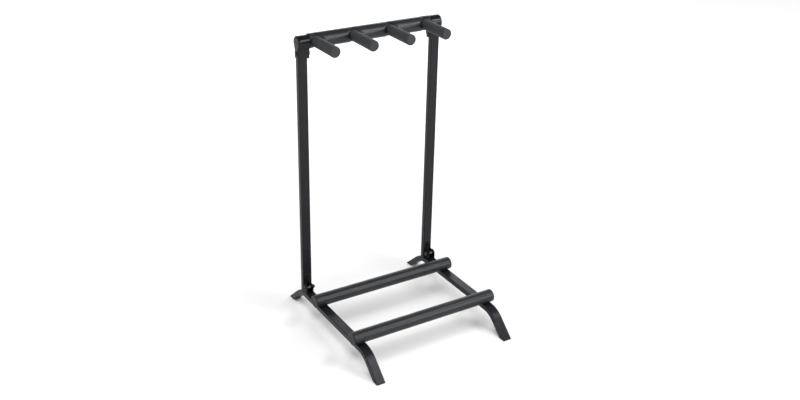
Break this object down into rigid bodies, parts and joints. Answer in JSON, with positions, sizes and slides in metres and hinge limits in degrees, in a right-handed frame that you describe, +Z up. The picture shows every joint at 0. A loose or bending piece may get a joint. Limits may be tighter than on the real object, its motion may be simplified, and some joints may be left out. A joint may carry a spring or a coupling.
{
  "type": "guitar rack",
  "caption": "Folding floor rack for instruments: padded top bar with padded neck pegs on flat tube uprights, hinged to arched tube runners joined by padded cross bars.",
  "frame": {"origin": "on the floor, midway between the runners and midway between the front and rear toes", "axes": "X across the rack, -Y towards the front where the neck pegs point, +Z up"},
  "size_m": [0.388, 0.441, 0.707],
  "materials": {
    "frame_paint": "black powder coat, satin",
    "hinge_paint": "black paint on pressed steel, satin",
    "foam": "closed-cell foam sleeve, matte with a fine grain",
    "rubber": "moulded rubber, matte",
    "gloss_plastic": "moulded black plastic, glossy",
    "plastic": "moulded black plastic, matte",
    "black_steel": "blackened steel fastener",
    "zinc_steel": "zinc plated steel"
  },
  "bodies": {
    "base": {"left_runner": "frame_paint", "right_runner": "frame_paint", "front_left_foot": "rubber", "front_right_foot": "rubber", "rear_left_foot": "rubber", "rear_right_foot": "rubber", "rear_base_tube": "frame_paint", "front_base_tube": "frame_paint", "rear_base_foam": "foam", "front_base_foam": "foam", "rear_left_bar_cap": "plastic", "rear_right_bar_cap": "plastic", "front_left_bar_cap": "plastic", "front_right_bar_cap": "plastic", "bar_saddles": "plastic", "bar_screws": "black_steel", "bar_rivet_nuts": "zinc_steel", "left_hinge_bracket": "hinge_paint", "right_hinge_bracket": "hinge_paint", "bracket_rivets": "hinge_paint", "left_pivot_bolt": "black_steel", "right_pivot_bolt": "black_steel", "left_pivot_nut": "black_steel", "right_pivot_nut": "black_steel", "pivot_washers": "plastic"},
    "back_frame": {"left_hinge_leaf": "hinge_paint", "right_hinge_leaf": "hinge_paint", "leaf_rivets": "hinge_paint", "left_pivot_sleeve": "black_steel", "right_pivot_sleeve": "black_steel", "left_upright": "frame_paint", "right_upright": "frame_paint", "left_upright_plug": "plastic", "right_upright_plug": "plastic", "left_elbow": "gloss_plastic", "right_elbow": "gloss_plastic", "left_elbow_bolt": "black_steel", "right_elbow_bolt": "black_steel", "left_elbow_nut": "black_steel", "right_elbow_nut": "black_steel", "top_tube": "frame_paint", "top_foam": "foam", "peg_rod_1": "frame_paint", "peg_rod_2": "frame_paint", "peg_rod_3": "frame_paint", "peg_rod_4": "frame_paint", "peg_sleeve_1": "foam", "peg_sleeve_2": "foam", "peg_sleeve_3": "foam", "peg_sleeve_4": "foam"}
  },
  "joints": [
    {"name": "back_frame_fold", "type": "hinge", "parent": "base", "child": "back_frame", "pos_m": [0, 0.1295, 0.07], "axis": [1, 0, 0], "range_deg": [0, 84]}
  ]
}
